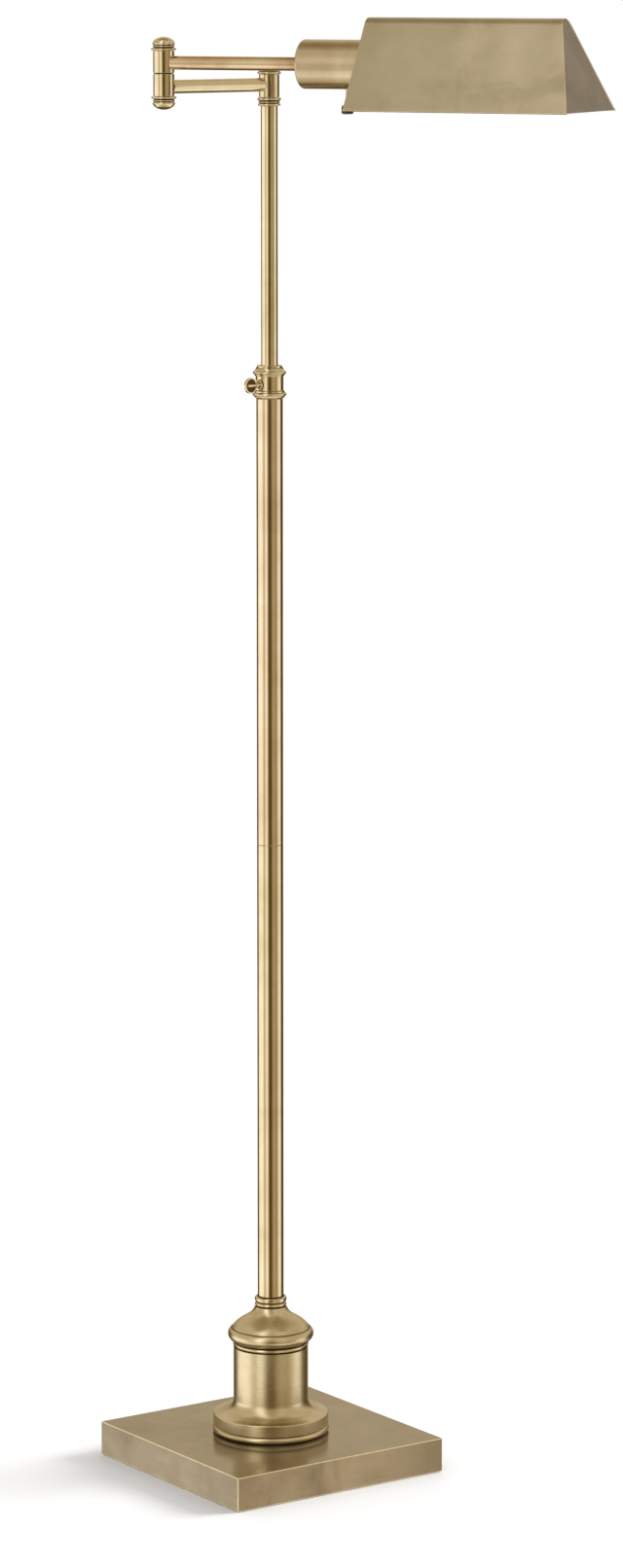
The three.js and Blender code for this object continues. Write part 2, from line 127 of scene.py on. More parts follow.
PANEL_STOPS = (                 # degrees round from the camera, brightness seen there
    (-180, 0.75), (-164, 0.6), (-153, 0.1), (-130, 0.1), (-116, 1.7), (-72, 1.8), (-56, 1.0),
    (-46, 0.85), (-38, 1.6), (-26, 1.6), (-17, 0.7), (-9, 0.16), (11, 0.16), (20, 0.6), (40, 0.72),
    (49, 0.5), (60, 0.7), (68, 0.8), (80, 1.5), (98, 1.5), (108, 0.7), (117, 0.1), (153, 0.1),
    (164, 0.6), (180, 0.75))


def warm(level):
    """A white of this brightness, browner as it darkens."""
    share = min(level / 1.4, 1)
    green = 0.6 + 0.48 * share - 0.1 * share**2
    blue = 0.08 + 0.98 * share - 0.11 * share**2
    return (level, level * green, level * blue, 1)


world = bpy.data.worlds.new("studio")
bpy.context.scene.world = world
world.use_nodes = True
sky = world.node_tree
sky.nodes.clear()
way = add_node(sky, "ShaderNodeMapping", {
    "Vector": add_node(sky, "ShaderNodeTexCoord").outputs["Generated"],
    "Rotation": (0, 0, math.radians(-CAMERA_AZIMUTH)),
}).outputs["Vector"]
way_parts = add_node(sky, "ShaderNodeSeparateXYZ", {"Vector": way}).outputs
toward = add_node(
    sky, "ShaderNodeMath", {0: way_parts["Y"], 1: -1.0}, operation="MULTIPLY").outputs[0]
round_angle = add_node(
    sky, "ShaderNodeMath", {0: way_parts["X"], 1: toward}, operation="ARCTAN2").outputs[0]
round_place = add_node(sky, "ShaderNodeMapRange", {
    "Value": round_angle, "From Min": -math.pi, "From Max": math.pi}).outputs["Result"]
panels = ramp(sky, round_place, [((angle + 180) / 360, warm(level)) for angle, level in PANEL_STOPS])
HIGH_GAIN = 1.5                 # the panels are this much brighter high up
HIGH_LEAST = 0.6                # and nowhere darker than this there
high_panels = ramp(sky, round_place, [
    ((angle + 180) / 360, warm(max(HIGH_GAIN * level, HIGH_LEAST))) for angle, level in PANEL_STOPS])
height_place = add_node(sky, "ShaderNodeMapRange", {
    "Value": way_parts["Z"], "From Min": -1, "From Max": 1}).outputs["Result"]


def sine_place(degrees):
    """Where an elevation falls on a ramp that runs over the direction's Z from -1 to 1."""
    return (math.sin(math.radians(degrees)) + 1) / 2


def by_height(levels):
    """A ramp of brightness over elevation in degrees."""
    return ramp(sky, height_place, [(sine_place(degrees), warm(level)) for degrees, level in levels])


def share_round(shares):
    """A ramp of plain shares over degrees round from the camera."""
    return ramp(sky, round_place, [
        ((at + 180) / 360, (share, share, share, 1)) for at, share in shares])


def share_up(shares):
    """A ramp of plain shares over elevation in degrees."""
    return ramp(sky, height_place, [(sine_place(at), (share, share, share, 1)) for at, share in shares])


ahead = by_height([
    (-90, 0.6), (-66, 0.9), (-50, 1.6), (-34, 1.4), (-20, 1.0), (9, 0.85), (18, 0.95), (36, 0.8),
    (56, 1.0), (68, 0.45), (76, 0.42), (90, 0.7)])
behind = by_height([
    (-90, 0.6), (-70, 0.3), (-50, 0.12), (3, 0.12), (13, 0.8), (24, 0.9), (45, 0.8), (60, 0.45),
    (76, 0.42), (90, 0.7)])
back_half = share_round([(-135, 1), (-115, 0), (115, 0), (135, 1)])
around = add_node(sky, "ShaderNodeMix", {
    "Factor": back_half, 6: ahead, 7: behind}, data_type="RGBA").outputs[2]
panel_band = share_up([(-28, 0), (-21, 1), (2, 1), (9, 0)])
tall_band = add_node(sky, "ShaderNodeMath", {
    0: share_round([(-58, 0), (-44, 1), (44, 1), (58, 0)]),
    1: share_up([(-34, 0), (-26, 1), (76, 1), (85, 0)])}, operation="MULTIPLY").outputs[0]
with_high = add_node(sky, "ShaderNodeMix", {
    "Factor": tall_band, 6: around, 7: high_panels}, data_type="RGBA").outputs[2]
seen_in_metal = add_node(sky, "ShaderNodeMix", {
    "Factor": panel_band, 6: with_high, 7: panels}, data_type="RGBA").outputs[2]
ray = add_node(sky, "ShaderNodeLightPath").outputs
room_or_metal = add_node(sky, "ShaderNodeMix", {
    "Factor": ray["Is Glossy Ray"], 6: (0.72, 0.72, 0.72, 1), 7: seen_in_metal},
    data_type="RGBA").outputs[2]
seen = add_node(sky, "ShaderNodeMix", {
    "Factor": ray["Is Camera Ray"], 6: room_or_metal, 7: (1, 1, 1, 1)}, data_type="RGBA").outputs[2]
add_node(sky, "ShaderNodeOutputWorld", {"Surface": add_node(sky, "ShaderNodeBackground", {
    "Color": seen, "Strength": 1.0}).outputs[0]})

paper = bpy.data.materials.new("white_paper")
paper.use_nodes = True
paper.node_tree.nodes.clear()
matt = add_node(paper.node_tree, "ShaderNodeBsdfDiffuse", {"Color": (1, 1, 1, 1)}).outputs[0]
sheen = add_node(paper.node_tree, "ShaderNodeBsdfGlossy", {
    "Color": (1, 1, 1, 1), "Roughness": 0.12}).outputs[0]
add_node(paper.node_tree, "ShaderNodeOutputMaterial", {"Surface": add_node(
    paper.node_tree, "ShaderNodeMixShader", {0: 0.05, 1: matt, 2: sheen}).outputs[0]})
bpy.ops.mesh.primitive_plane_add(size=60, location=(0, 0, cad_box[0][2]))
floor = bpy.context.object
floor.name = "paper_floor"
floor.data.materials.append(paper)
floor.visible_glossy = False

KEY_HEIGHT = 32                 # degrees up, from behind on the right
key = bpy.data.objects.new("key_light", bpy.data.lights.new("key_light", "SUN"))
bpy.context.scene.collection.objects.link(key)
key.data.energy = 2.2
key.data.angle = math.radians(28)
key_way = studio_point(1.0, 0.25, math.tan(math.radians(KEY_HEIGHT)))
key.rotation_euler = (-key_way).to_track_quat("-Z", "Y").to_euler()
key.visible_glossy = False


# ---- Foot ---------------------------------------------------------------------------------------
# A square weighted foot. The cover is pressed and mitred from brass sheet, brushed along each face,
# darkened and lacquered; the sharp edges are rubbed back to bare metal, and their pale colour is
# also a painted highlight. The top and sides carry painted shade in their tones. A grommet passes
# the lead.

MM = 0.001
COVER_WALL = 1.6
COVER_EDGE = 0.8
PATINA_SIZE = 55                # mm across one cloud of the darkening
BRUSH_PITCH = 0.3               # mm between brush lines; real ones are finer than the eye can part
STREAK_PITCH = 1.6


def deselect_all():
    bpy.ops.object.select_all(action="DESELECT")


def edit(piece):
    """Edit mode on this piece alone, with nothing in it selected."""
    deselect_all()
    piece.select_set(True)
    bpy.context.view_layer.objects.active = piece
    bpy.ops.object.mode_set(mode="EDIT")
    bpy.ops.mesh.select_all(action="DESELECT")


def pick(piece, kind, wanted):
    """In edit mode, select the faces, edges or verts for which wanted(element) is true."""
    bpy.ops.mesh.select_mode(type={"faces": "FACE", "edges": "EDGE", "verts": "VERT"}[kind])
    bpy.ops.mesh.select_all(action="DESELECT")
    mesh = bmesh.from_edit_mesh(piece.data)
    for element in getattr(mesh, kind):
        if wanted(element):
            element.select_set(True)
    mesh.select_flush_mode()
    bmesh.update_edit_mesh(piece.data)


def leave_edit():
    """Back to object mode with every face pointing out."""
    bpy.ops.mesh.select_all(action="SELECT")
    bpy.ops.mesh.remove_doubles(threshold=0.000002)
    bpy.ops.mesh.normals_make_consistent(inside=False)
    bpy.ops.object.mode_set(mode="OBJECT")


def apply(piece, kind, **settings):
    """Add one modifier to a piece and apply it."""
    deselect_all()
    piece.select_set(True)
    bpy.context.view_layer.objects.active = piece
    modifier = piece.modifiers.new(kind, kind)
    for name, value in settings.items():
        setattr(modifier, name, value)
    bpy.ops.object.modifier_apply(modifier=modifier.name)


def smooth(piece, degrees=32):
    """Smooth shading that keeps the large faces true right up to their bevels."""
    deselect_all()
    piece.select_set(True)
    bpy.context.view_layer.objects.active = piece
    bpy.ops.object.shade_smooth_by_angle(angle=math.radians(degrees))
    apply(piece, "WEIGHTED_NORMAL", keep_sharp=True)


def place_in_mesh(piece):
    """Move the piece's place and turn into its mesh."""
    deselect_all()
    piece.select_set(True)
    bpy.context.view_layer.objects.active = piece
    bpy.ops.object.transform_apply(location=True, rotation=True, scale=True)


def brass(name, tones, brush, roughness=0.3, direction=0.0, bump=0.03, streak=0.08, metallic=0.92,
          bands=None):
    """Antique brass: brushed, darkened in a bath, rubbed back unevenly and lacquered.

    tones are the darkened, middle and rubbed colours; brush is the axis the brush lines run across,
    once the pattern is turned by direction about Z. bands is (start, end, shares): how much of the
    darkest colour is mixed in at points spread along the pattern's X: painted shade on the foot,
    soft darker bands along the shade.
    """
    material = bpy.data.materials.new(name)
    material.use_nodes = True
    tree = material.node_tree
    shader = tree.nodes["Principled BSDF"]
    local = add_node(tree, "ShaderNodeMapping", {
        "Vector": add_node(tree, "ShaderNodeTexCoord").outputs["Object"],
        "Rotation": (0, 0, -direction)}).outputs["Vector"]

    def across(pitch, along=28):
        lines = 1 / (pitch * MM)
        return tuple(lines if axis in brush else along for axis in "xyz")

    def grain(scale, detail):
        stretched = add_node(tree, "ShaderNodeMapping", {"Vector": local, "Scale": scale})
        return add_node(tree, "ShaderNodeTexNoise", {
            "Vector": stretched.outputs["Vector"], "Scale": 1.0, "Detail": detail,
            "Roughness": 0.55}).outputs["Fac"]

    clouds = add_node(tree, "ShaderNodeTexNoise", {
        "Vector": local, "Scale": 1 / (PATINA_SIZE * MM), "Detail": 4.0, "Roughness": 0.6,
        "Distortion": 0.4}).outputs["Fac"]
    lines = grain(across(BRUSH_PITCH), 2.0)
    streaks = grain(across(STREAK_PITCH, 14), 3.0)
    tone = ramp(tree, clouds, [
        (0.3, linear(tones[0])), (0.5, linear(tones[1])), (0.7, linear(tones[2]))])
    if bands:
        start, end, shares = bands
        sway = add_node(tree, "ShaderNodeMapRange", {
            "Value": clouds, "To Min": -0.05, "To Max": 0.05}).outputs["Result"]
        along_piece = add_node(tree, "ShaderNodeMapRange", {
            "Value": add_node(tree, "ShaderNodeSeparateXYZ", {"Vector": local}).outputs["X"],
            "From Min": start, "From Max": end}).outputs["Result"]
        place = add_node(tree, "ShaderNodeMath", {0: along_piece, 1: sway}).outputs[0]
        left = ramp(tree, place, [(at, (share, share, share, 1)) for at, share in shares])
        tone = add_node(tree, "ShaderNodeMix", {
            "Factor": left, 6: tone, 7: linear(tones[0])}, data_type="RGBA").outputs[2]
    streak_depth = add_node(tree, "ShaderNodeMapRange", {
        "Value": streaks, "From Min": 0.48, "From Max": 0.78, "To Max": streak}).outputs["Result"]
    streaked = add_node(tree, "ShaderNodeMix", {
        "Factor": streak_depth, 6: tone, 7: linear(tones[0])}, data_type="RGBA").outputs[2]
    rubbed = add_node(tree, "ShaderNodeMapRange", {
        "Value": lines, "From Min": 0.35, "From Max": 0.75, "To Max": streak}).outputs["Result"]
    colour = add_node(tree, "ShaderNodeMix", {
        "Factor": rubbed, 6: streaked, 7: linear(tones[2])}, data_type="RGBA").outputs[2]
    gloss = add_node(tree, "ShaderNodeMapRange", {
        "Value": streaks, "From Min": 0.3, "From Max": 0.7,
        "To Min": roughness - 0.02, "To Max": roughness + 0.03}).outputs["Result"]
    raised = add_node(tree, "ShaderNodeBump", {
        "Height": lines, "Strength": bump, "Distance": 0.00006}).outputs["Normal"]
    tree.links.new(colour, shader.inputs["Base Color"])
    tree.links.new(gloss, shader.inputs["Roughness"])
    tree.links.new(raised, shader.inputs["Normal"])
    shader.inputs["Metallic"].default_value = metallic
    return material


cad_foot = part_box("base_cover")
FOOT_TONES = ("#84765d", "#a29378", "#b0a288")
# The faces square to X take a darker copy of the foot's brass: painted shade on that pair of sides.
FOOT_SHADED_SIDE_TONES = ("#7d7059", "#8c7f67", "#9a8d75")
# Painted shade along X on the front and back faces: darker at both ends, most at the +X end.
FOOT_PAINTED_SHADE_BANDS = ((0, 0.4), (0.2, 0.2), (0.5, 0.0), (0.7, 0.1), (0.85, 0.5), (1, 0.9))
cover_along_x = brass("brushed_brass_sheet_along_x", FOOT_TONES, "yz", 0.3, streak=0.2,
                      bands=(cad_foot[0].x, cad_foot[1].x, FOOT_PAINTED_SHADE_BANDS))
cover_along_y_painted_shade = brass("brushed_brass_sheet_along_y", FOOT_SHADED_SIDE_TONES, "xz", 0.3, streak=0.2)
# The top takes a darker copy again, more finely polished; its darker tone is painted shade.
cover_top_painted_shade = brass("rubbed_brass_sheet_top", ("#877a62", "#93866d", "#9d9079"), "yz", 0.17)
# Pale brass on the bevels: edges worn to bare metal, and a painted highlight along them.
rubbed_edge_and_painted_highlight = brass("rubbed_brass_edge", ("#d8c8a0", "#e2d4b0", "#ece2c4"), "z", 0.3)

cover_low, cover_high = cad_foot
deselect_all()
bpy.ops.mesh.primitive_cube_add(size=1, location=(cover_low + cover_high) / 2)
cover = bpy.context.object
cover.name = "foot_cover"
cover.dimensions = cover_high - cover_low
place_in_mesh(cover)
for material in (cover_along_x, cover_along_y_painted_shade, cover_top_painted_shade, rubbed_edge_and_painted_highlight):
    cover.data.materials.append(material)
edit(cover)
pick(cover, "faces", lambda face: face.normal.z < -0.9)
bpy.ops.mesh.inset(thickness=COVER_WALL * MM)
cavity_height = cover_high.z - cover_low.z - COVER_WALL * MM
bpy.ops.mesh.extrude_region_move(TRANSFORM_OT_translate={"value": (0, 0, cavity_height)})
for slot_index, axis in ((1, "x"), (2, "z")):
    pick(cover, "faces", lambda face: abs(getattr(face.normal, axis)) > 0.9)
    cover.active_material_index = slot_index
    bpy.ops.object.material_slot_assign()
bpy.ops.mesh.select_all(action="DESELECT")
bpy.ops.object.mode_set(mode="OBJECT")
apply(cover, "BEVEL", width=COVER_EDGE * MM, segments=3, limit_method="ANGLE", material=3)
smooth(cover)
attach(cover, "root")
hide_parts("base_cover")


# ---- Column, bell and neck ----------------------------------------------------------------------
# Turned brass: a stepped flange sweeping up into a short thick column, a bead ring, a bell with a
# round shoulder and a neck of two rings. All of it is clamped to the foot by a hollow tie rod.

# Near-black brass for grooves and for the rims where turned pieces meet: antique patina in the
# recesses, and painted shade there too.
GROOVE_PATINA_AND_SHADE_TONES = ("#33240f", "#453418", "#5d4a28")


def turned(name, outline, foot=0.0, sides=96, edge=0.25, grooves=()):
    """A turned piece about Z: one ring drawn out ring by ring along (radius, height) points in mm.

    It closes on the axis at an end whose radius is 0, or on itself where the last point is the
    first. Faces between the heights in grooves take the piece's second material.
    """
    rings = [(radius * MM, foot + height * MM) for radius, height in outline if radius > 0]
    deselect_all()
    bpy.ops.mesh.primitive_circle_add(vertices=sides, radius=rings[0][0], location=(0, 0, rings[0][1]))
    piece = bpy.context.object
    piece.name = name
    place_in_mesh(piece)
    edit(piece)
    bpy.ops.mesh.select_all(action="SELECT")
    for (radius, height), (next_radius, next_height) in zip(rings, rings[1:]):
        bpy.ops.mesh.extrude_edges_move(TRANSFORM_OT_translate={"value": (0, 0, next_height - height)})
        if next_radius != radius:
            scale = next_radius / radius
            bpy.ops.transform.resize(value=(scale, scale, 1), center_override=(0, 0, next_height))
    for end, tip in ((-1, outline[-1]), (0, outline[0])):
        if tip[0] == 0:
            close_on_axis(piece, rings[end], foot + tip[1] * MM)
    leave_edit()
    if edge:
        apply(piece, "BEVEL", width=edge * MM, segments=2, limit_method="ANGLE",
              angle_limit=math.radians(34))
    if grooves:
        for face in piece.data.polygons:
            height = (face.center.z - foot) / MM
            if any(low < height < high for low, high in grooves):
                face.material_index = 1
    smooth(piece)
    return piece


def close_on_axis(piece, ring, tip_height):
    """Close an open end: a flat face at the ring's own height, or a point above or below it."""
    radius, height = ring
    near = radius * 0.001
    pick(piece, "verts", lambda vert: abs(vert.co.z - height) < near
         and abs(vert.co.xy.length - radius) < near and vert.is_boundary)
    bpy.ops.mesh.select_mode(type="EDGE")
    if abs(tip_height - height) < near:
        bpy.ops.mesh.edge_face_add()
    else:
        bpy.ops.mesh.extrude_edges_move(TRANSFORM_OT_translate={"value": (0, 0, tip_height - height)})
        bpy.ops.mesh.merge(type="CENTER")


def bow(centre, radius, start, end, steps=8):
    """Points on an arc, angles in degrees from straight out."""
    angles = [math.radians(start + (end - start) * i / steps) for i in range(steps + 1)]
    return [(centre[0] + radius * math.cos(a), centre[1] + radius * math.sin(a)) for a in angles]


def bead(radius, height, half, steps=8):
    """A half-round bead standing out to this radius."""
    return bow((radius - half, height), half, -90, 90, steps)


def finish(piece, body, slot, materials, *nodes):
    """Give a piece its materials and its place in the frame."""
    for material in materials:
        piece.data.materials.append(material)
    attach(piece, body)
    if nodes:
        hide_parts(*nodes)


BRASS_TONES = ("#b4a480", "#c2b492", "#cabd9e")
column_brass = brass("antique_brass_column", BRASS_TONES, "z", 0.28, streak=0.05, metallic=0.97)
turned_brass = brass(
    "antique_brass_turned", BRASS_TONES, "z", 0.14, bump=0.02, streak=0.05, metallic=1.0)
groove_patina_and_shade_brass = brass("antique_brass_in_grooves", GROOVE_PATINA_AND_SHADE_TONES, "z", 0.4)

column_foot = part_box("column")[0].z
FILLET = 14.8
column = turned("column_turning", [
    (6, 0), *bow((53.9, 3.2), 3.2, -90, 55, 8), (55.3, 6.3), (55.1, 6.9), (56.5, 7.3), (56.5, 18.2),
    (55.8, 18.9), *bow((51.4, 18.9 + FILLET), FILLET, 270, 180, 14), (36.6, 85.1),
    (34.2, 85.1), (34.2, 20), (6, 12), (6, 0)], column_foot, 128, 0.3, ((6.2, 7.2),))
finish(column, "root", "aged_brass", (column_brass, groove_patina_and_shade_brass), "column")

bead_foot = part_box("column_bead")[0].z
bead_ring = turned("column_bead_ring", [
    (31, 0), (35.6, 0), (35.6, 0.5), *bead(37.1, 2.6, 1.95), (35.6, 4.7), (35.6, 5.1),
    (31, 5.1), (31, 0)],
    bead_foot, 128, 0.12, ((-0.1, 0.7), (4.5, 5.2)))
finish(bead_ring, "root", "aged_brass", (turned_brass, groove_patina_and_shade_brass), "column_bead")

bell_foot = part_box("bell_cap")[0].z
bell = turned("bell_turning", [
    (35.6, 0), (37, 0.4), (38.2, 1.1), *bow((35.2, 7.3), 6.8, -52, 56, 14), (38.4, 13.1), (37.8, 13.5),
    (36.6, 15.6), (34.9, 17.5), (32.8, 19.3), (30.8, 20.8), (28.8, 22.1), (26.9, 23.2), (25, 24.3),
    (23.2, 25.4), (21.5, 26.6), (20.1, 27.7), (18.8, 28.9), (17.8, 30.1), (16.9, 31.4), (16.2, 32.9),
    (15.6, 34.6), (5.4, 34.6), (5.4, 15), (28, 11), (33, 0), (35.6, 0)],
    bell_foot, 128, 0, ((-0.1, 0.5), (12.8, 13.6)))
finish(bell, "root", "aged_brass", (column_brass, groove_patina_and_shade_brass), "bell_cap")

neck_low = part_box("neck_collar")[0]
neck = turned("neck_turning", [
    (5.4, 0), (14.6, 0), (14.6, 0.5), *bead(15.5, 2.35, 1.75), (14.4, 4.2), (14.4, 4.8),
    *bow((13.9, 6.6), 1.7, -80, 0, 5), (15.6, 7.4), *bow((14.2, 8), 1.4, 0, 80, 5), (13.4, 9.6),
    (13.2, 10.3), (11.2, 10.3), (11.2, 28.3), (5.4, 28.3), (5.4, 0)],
    neck_low.z, 96, 0.1, ((-0.1, 0.6), (4.1, 4.9), (9.5, 10.4)))
finish(neck, "root", "aged_brass", (turned_brass, groove_patina_and_shade_brass), "neck_collar")


# ---- Pole ---------------------------------------------------------------------------------------
# Two lengths of one inch brass tube, 1.2 mm in the wall, screwed together over a hidden coupler.
# The lacquered surface is polished round, so it mirrors the studio in long clean stripes.

TUBE_EDGE = 0.3
TUBE_WALL = 1.2                 # mm, drawn tube of the pole and rod
POLE_TONES = ("#b8a984", "#c4b694", "#ccc0a2")
pole_brass = brass("antique_brass_tube", POLE_TONES, "z", 0.13, bump=0.02, streak=0.05, metallic=1.0)
upper_pole_brass = brass(
    "antique_brass_tube_rosy", ("#bba88a", "#c6b597", "#cdbfa4"), "z", 0.13, bump=0.02,
    streak=0.05, metallic=1.0)


def tube(name, node, wall, sides=72):
    """A plain tube that fills a CAD tube's box."""
    low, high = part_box(node)
    radius = (high.x - low.x) / 2 / MM
    length = (high.z - low.z) / MM
    return turned(name, [
        (radius - wall, 0), (radius, 0), (radius, length), (radius - wall, length), (radius - wall, 0)],
        low.z, sides, TUBE_EDGE)


finish(
    tube("lower_pole_tube", "lower_pole", TUBE_WALL), "root", "aged_brass", (pole_brass,),
    "lower_pole")
finish(
    tube("upper_pole_tube", "upper_pole", TUBE_WALL), "root", "aged_brass", (upper_pole_brass,),
    "upper_pole")


# ---- Height collar and thumbscrew ---------------------------------------------------------------
# A turned collar with a beaded moulding at each end closes the pole and guides the rod. The screw
# in its side has a round shoulder and a flat round paddle for the fingers.

collar_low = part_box("height_collar")[0]
COLLAR_SKIRT = 14.3             # mm of spigot below the moulding
collar = turned("height_collar_turning", [
    (8.5, 0), (11.2, 0), (11.2, COLLAR_SKIRT), (13, COLLAR_SKIRT), (14.5, COLLAR_SKIRT + 1.3),
    *bead(16.4, COLLAR_SKIRT + 4, 1.6), (14.4, COLLAR_SKIRT + 5.8), (14.4, COLLAR_SKIRT + 7.3),
    (13.3, COLLAR_SKIRT + 7.8), (13.3, COLLAR_SKIRT + 21.2), (14.3, COLLAR_SKIRT + 21.6),
    (14.5, COLLAR_SKIRT + 22.9), *bead(16.2, COLLAR_SKIRT + 24.7, 1.4),
    *bow((16.2, COLLAR_SKIRT + 29.4), 3.1, 232, 180, 6), (12.1, COLLAR_SKIRT + 29.4),
    (12.1, COLLAR_SKIRT + 31.2), (11.4, COLLAR_SKIRT + 31.5), (8.5, COLLAR_SKIRT + 31.5), (8.5, 0)],
    collar_low.z, 96, 0.18, [(COLLAR_SKIRT + low, COLLAR_SKIRT + high) for low, high in (
        (5.6, 5.9), (7.2, 7.7), (21.2, 21.7), (22.9, 23.3), (28.9, 29.5))])
finish(collar, "root", "aged_brass", (turned_brass, groove_patina_and_shade_brass), "height_collar")

joints = {joint["name"]: joint for joint in frame["joints"]}
SHOULDER_START = 13.6
PADDLE_RADIUS = 7.6
PADDLE_CENTRE = 24.5
PADDLE_THICKNESS = 2.6
PADDLE_RIM = 1.3

screw = turned("thumbscrew_shank", [
    (0, 8.5), (1.9, 8.5), (1.9, SHOULDER_START), (4.9, SHOULDER_START), (5.3, SHOULDER_START + 0.5),
    (5.3, SHOULDER_START + 1.7), (4.8, SHOULDER_START + 2.2), (2.5, SHOULDER_START + 2.7),
    (1.75, SHOULDER_START + 4), (1.65, PADDLE_CENTRE + 2.6), (1.2, PADDLE_CENTRE + 4.2),
    (0, PADDLE_CENTRE + 4.5)], 0, 48, 0.15)
deselect_all()
bpy.ops.mesh.primitive_cylinder_add(
    vertices=72, radius=PADDLE_RADIUS * MM, depth=PADDLE_THICKNESS * MM,
    location=(0, 0, PADDLE_CENTRE * MM), rotation=(0, math.pi / 2, 0))
paddle = bpy.context.object
place_in_mesh(paddle)
edit(paddle)
pick(paddle, "faces", lambda face: abs(face.normal.x) > 0.9)
bpy.ops.mesh.inset(thickness=PADDLE_RIM * MM, use_individual=True)
bpy.ops.mesh.extrude_region_shrink_fatten(TRANSFORM_OT_shrink_fatten={"value": -0.55 * MM})
bpy.ops.object.mode_set(mode="OBJECT")
apply(paddle, "BEVEL", width=0.35 * MM, segments=3, limit_method="ANGLE")
screw.select_set(True)
paddle.select_set(True)
bpy.context.view_layer.objects.active = screw
bpy.ops.object.join()
screw.name = "thumbscrew_with_paddle"
smooth(screw)
# The paddle's sunk faces take the dark groove brass: patina and painted shade in the hollow.
for face in screw.data.polygons:
    if abs(face.normal.x) > 0.9 and abs(face.center.x) < 1.0 * MM:
        face.material_index = 1
screw_way = Vector(joints["thumbscrew_turn"]["axis"])
screw_turn = Matrix((
    Vector((0, 0, 1)).cross(screw_way), Vector((0, 0, 1)), screw_way)).transposed().to_4x4()
screw.matrix_world = Matrix.Translation((0, 0, joints["thumbscrew_turn"]["pos_m"][2])) @ screw_turn
place_in_mesh(screw)
finish(screw, "thumbscrew", "aged_brass", (turned_brass, groove_patina_and_shade_brass), "thumbscrew")


# ---- Height rod and tee -------------------------------------------------------------------------
# The thinner tube that slides in the pole. A beaded seat screwed in its top carries the tee's
# barrel, which swings the lower arm, under a flat-domed cap.

rod_brass = brass("antique_brass_rod", POLE_TONES, "z", 0.12, bump=0.02, streak=0.05, metallic=1.0)
finish(
    tube("height_rod_tube", "height_rod", TUBE_WALL, 64), "height_rod", "aged_brass", (rod_brass,),
    "height_rod")

seat_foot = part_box("tee_seat")[0].z
seat = turned("tee_seat_turning", [
    (5.4, 0), (9.8, 0), *bead(10.75, 1.15, 1.05), (9.4, 2.3), (9.4, 2.8), *bead(10.3, 3.55, 0.65, 6),
    (9.4, 4.3), (9.4, 4.8), (10.9, 5.1), *bead(11.35, 6.3, 1.0), (10.6, 7.4), (10.2, 7.8), (5.4, 7.8),
    (5.4, 0)], seat_foot, 80, 0.1, ((2.15, 2.95), (4.15, 5)))
finish(seat, "height_rod", "aged_brass", (turned_brass, groove_patina_and_shade_brass), "tee_seat")

tee_low, tee_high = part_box("tee_barrel")
tee_length = (tee_high.z - tee_low.z) / MM
tee = turned("tee_barrel_tube", [
    (5.4, 0), (9.6, 0), (9.6, tee_length), (5.4, tee_length), (5.4, 0)], tee_low.z, 80, 0.3)
finish(tee, "lower_arm", "aged_brass", (turned_brass,), "tee_barrel")

cap_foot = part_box("tee_cap")[0].z
cap = turned("tee_cap_turning", [
    (0, 0), (10.6, 0), *bead(11.25, 1.15, 0.95), (10.4, 2.2), (10, 2.5), *bow((0, -9), 15.4, 49, 88, 8),
    (0, 4.3)], cap_foot, 80, 0.1, ((2.05, 2.6),))
finish(cap, "height_rod", "aged_brass", (turned_brass, groove_patina_and_shade_brass), "tee_cap")


# ---- Arms and elbow -----------------------------------------------------------------------------
# Half inch tubes coped and brazed to their barrels. The elbow's two barrels turn on one pin between
# turned finials, each a ring, two beads and a low dome.

ARM_RADIUS = 6.35
ARM_WALL = 1.2
tee_axis = Vector(joints["tee_swing"]["pos_m"])
elbow_axis = Vector(joints["elbow_swing"]["pos_m"])
shade_way = Vector(joints["shade_roll"]["axis"])
lower_way = Vector((elbow_axis.x - tee_axis.x, elbow_axis.y - tee_axis.y, 0)).normalized()
lower_angle = math.atan2(lower_way.y, lower_way.x)
upper_angle = math.atan2(shade_way.y, shade_way.x)
arm_length = (elbow_axis.xy - tee_axis.xy).length / MM
lower_height = sum(corner.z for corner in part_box("lower_arm")) / 2
upper_height = joints["shade_roll"]["pos_m"][2]


def lay_along(piece, start, angle):
    """Lay a piece turned about Z along a level line from start, at this angle round Z."""
    upright_to_level = Matrix(((0, 0, 1), (0, 1, 0), (-1, 0, 0))).to_4x4()
    piece.matrix_world = Matrix.Translation(start) @ Matrix.Rotation(angle, 4, "Z") @ upright_to_level
    place_in_mesh(piece)


def arm_tube(name, start, end):
    return turned(name, [
        (ARM_RADIUS - ARM_WALL, start), (ARM_RADIUS, start), (ARM_RADIUS, end),
        (ARM_RADIUS - ARM_WALL, end), (ARM_RADIUS - ARM_WALL, start)], 0, 64, 0.2)


BARREL_OVERLAP = 8.4            # mm from a barrel's axis to where an arm's coped end is buried
lower_arm_brass = brass("antique_brass_lower_arm", POLE_TONES, "x", 0.14, lower_angle, 0.02, 0.05, 1.0)
upper_arm_brass = brass("antique_brass_upper_arm", ("#ad9070", "#bfa98c", "#ccbd9c"), "x", 0.15,
                        upper_angle, 0.02, 0.08, 1.0)

lower_arm = arm_tube("lower_arm_tube", BARREL_OVERLAP, arm_length - BARREL_OVERLAP)
lay_along(lower_arm, Vector((tee_axis.x, tee_axis.y, lower_height)), lower_angle)
finish(lower_arm, "lower_arm", "aged_brass", (lower_arm_brass,), "lower_arm")

upper_arm = arm_tube("upper_arm_tube", BARREL_OVERLAP, 155)
arm_start = Vector((elbow_axis.x, elbow_axis.y, upper_height))
lay_along(upper_arm, arm_start, upper_angle)
finish(upper_arm, "upper_arm", "aged_brass", (upper_arm_brass,), "upper_arm")

